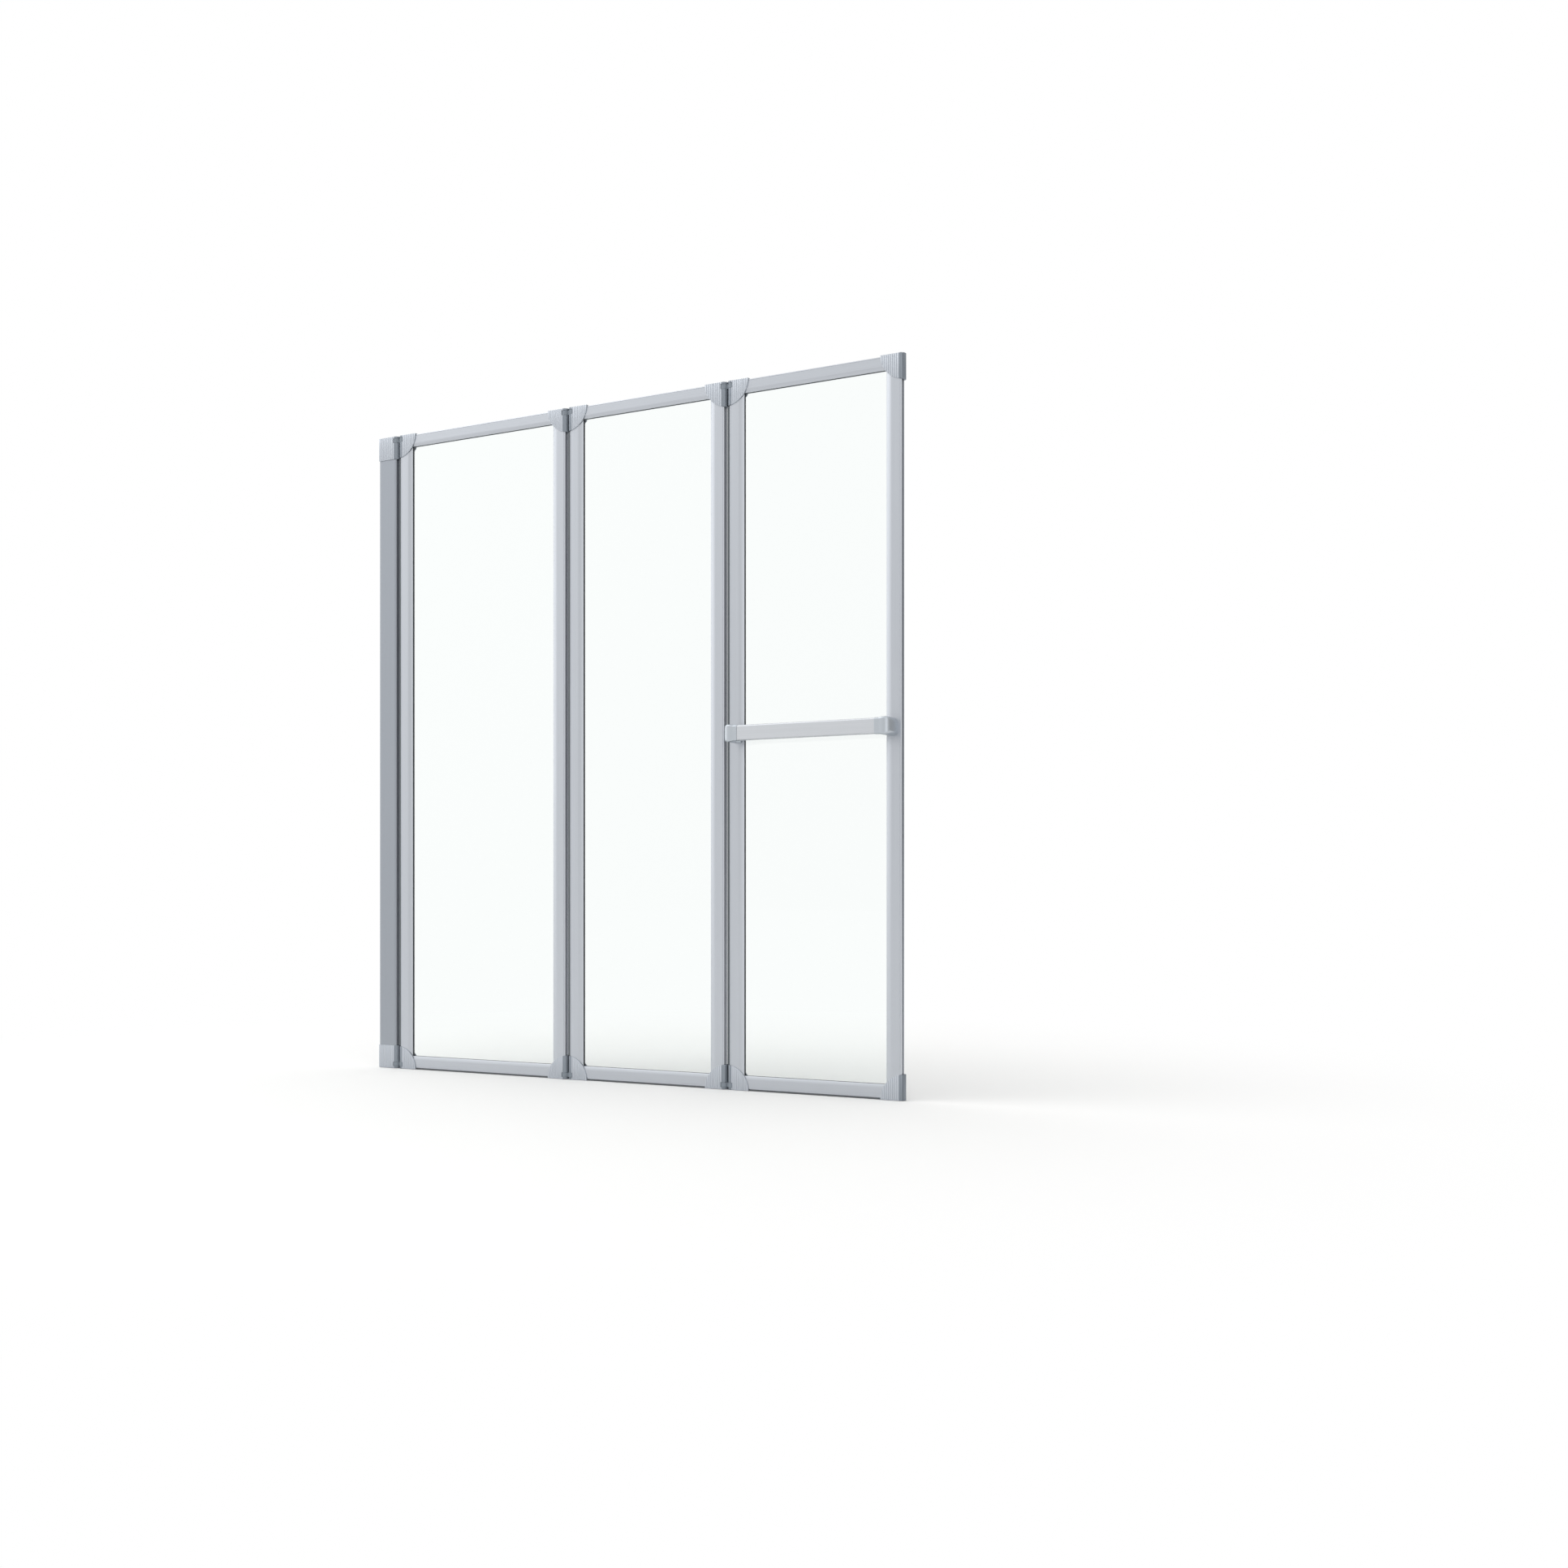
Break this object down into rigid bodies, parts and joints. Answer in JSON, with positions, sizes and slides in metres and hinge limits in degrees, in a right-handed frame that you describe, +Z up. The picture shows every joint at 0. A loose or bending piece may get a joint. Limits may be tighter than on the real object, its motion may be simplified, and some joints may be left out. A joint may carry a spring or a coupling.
{
  "type": "folding bath screen",
  "caption": "Folding glass bath screen in slim ribbed-cornered aluminium frames on double-pin hinges, with a wall post and a flat towel rail on the outermost panel.",
  "frame": {"origin": "on the wall plane, at the middle of the wall channel's back, at the height of the bath rim", "axes": "+X along the unfolded screen from the wall to the free edge, +Y towards the bath, +Z up; the towel rail is on the -Y side"},
  "size_m": [1.27, 0.057, 1.4],
  "materials": {
    "anodised_aluminium": "satin natural anodised extrusion",
    "channel_aluminium": "matte natural anodised extrusion",
    "bar_aluminium": "pale satin anodised",
    "cap_plastic": "satin silver-grey moulding",
    "link_plastic": "satin darker grey moulding",
    "bracket_plastic": "satin silver-grey moulding",
    "safety_glass": "clear toughened float glass",
    "glazing_rubber": "matte black extruded gasket",
    "edge_seal_rubber": "soft matte grey bulb seal",
    "bottom_seal_rubber": "matte black drip seal",
    "stainless_steel": "bright satin"
  },
  "bodies": {
    "wall_fixing": {"wall_channel": "channel_aluminium", "wall_post": "anodised_aluminium", "wall_cap_top": "cap_plastic", "wall_cap_bottom": "cap_plastic", "adjusting_screws": "stainless_steel", "wall_cap_screws": "stainless_steel", "wall_hinge_pins": "stainless_steel"},
    "wall_links": {"wall_hinge_links": "link_plastic"},
    "panel_1": {"panel_1_left_stile": "anodised_aluminium", "panel_1_right_stile": "anodised_aluminium", "panel_1_top_rail": "anodised_aluminium", "panel_1_bottom_rail": "anodised_aluminium", "panel_1_cap_top_left": "cap_plastic", "panel_1_cap_top_right": "cap_plastic", "panel_1_cap_bottom_left": "cap_plastic", "panel_1_cap_bottom_right": "cap_plastic", "panel_1_glass": "safety_glass", "panel_1_glazing_gasket": "glazing_rubber", "panel_1_edge_seal": "edge_seal_rubber", "panel_1_bottom_seal": "bottom_seal_rubber", "panel_1_corner_screws": "stainless_steel", "panel_1_hinge_pins": "stainless_steel"},
    "links_12": {"hinge_12_links": "link_plastic"},
    "panel_2": {"panel_2_left_stile": "anodised_aluminium", "panel_2_right_stile": "anodised_aluminium", "panel_2_top_rail": "anodised_aluminium", "panel_2_bottom_rail": "anodised_aluminium", "panel_2_cap_top_left": "cap_plastic", "panel_2_cap_top_right": "cap_plastic", "panel_2_cap_bottom_left": "cap_plastic", "panel_2_cap_bottom_right": "cap_plastic", "panel_2_glass": "safety_glass", "panel_2_glazing_gasket": "glazing_rubber", "panel_2_edge_seal": "edge_seal_rubber", "panel_2_bottom_seal": "bottom_seal_rubber", "panel_2_corner_screws": "stainless_steel", "panel_2_hinge_pins": "stainless_steel"},
    "links_23": {"hinge_23_links": "link_plastic"},
    "panel_3": {"panel_3_left_stile": "anodised_aluminium", "panel_3_right_stile": "anodised_aluminium", "panel_3_top_rail": "anodised_aluminium", "panel_3_bottom_rail": "anodised_aluminium", "panel_3_cap_top_left": "cap_plastic", "panel_3_cap_top_right": "cap_plastic", "panel_3_cap_bottom_left": "cap_plastic", "panel_3_cap_bottom_right": "cap_plastic", "panel_3_glass": "safety_glass", "panel_3_glazing_gasket": "glazing_rubber", "panel_3_edge_seal": "edge_seal_rubber", "panel_3_bottom_seal": "bottom_seal_rubber", "panel_3_corner_screws": "stainless_steel", "panel_3_hinge_pins": "stainless_steel", "towel_bar": "bar_aluminium", "towel_bracket_left": "bracket_plastic", "towel_bracket_right": "bracket_plastic", "towel_bracket_screws": "stainless_steel"}
  },
  "joints": [
    {"name": "wall_hinge_a", "type": "hinge", "parent": "wall_fixing", "child": "wall_links", "pos_m": [0.0445, 0, 0], "axis": [0, 0, 1], "range_deg": [0, 45]},
    {"name": "wall_hinge_b", "type": "hinge", "parent": "wall_links", "child": "panel_1", "pos_m": [0.0635, 0, 0], "axis": [0, 0, 1], "range_deg": [0, 45]},
    {"name": "fold_12_a", "type": "hinge", "parent": "panel_1", "child": "links_12", "pos_m": [0.498, 0, 0], "axis": [0, 0, 1], "range_deg": [-90, 0]},
    {"name": "fold_12_b", "type": "hinge", "parent": "links_12", "child": "panel_2", "pos_m": [0.517, 0, 0], "axis": [0, 0, 1], "range_deg": [-90, 0]},
    {"name": "fold_23_a", "type": "hinge", "parent": "panel_2", "child": "links_23", "pos_m": [0.8795, 0, 0], "axis": [0, 0, 1], "range_deg": [0, 90]},
    {"name": "fold_23_b", "type": "hinge", "parent": "links_23", "child": "panel_3", "pos_m": [0.8985, 0, 0], "axis": [0, 0, 1], "range_deg": [0, 90]}
  ],
  "couplings": [
    {"joint": "fold_23_a", "follows": "fold_12_a", "ratio": -1},
    {"joint": "fold_23_b", "follows": "fold_12_b", "ratio": -1}
  ]
}
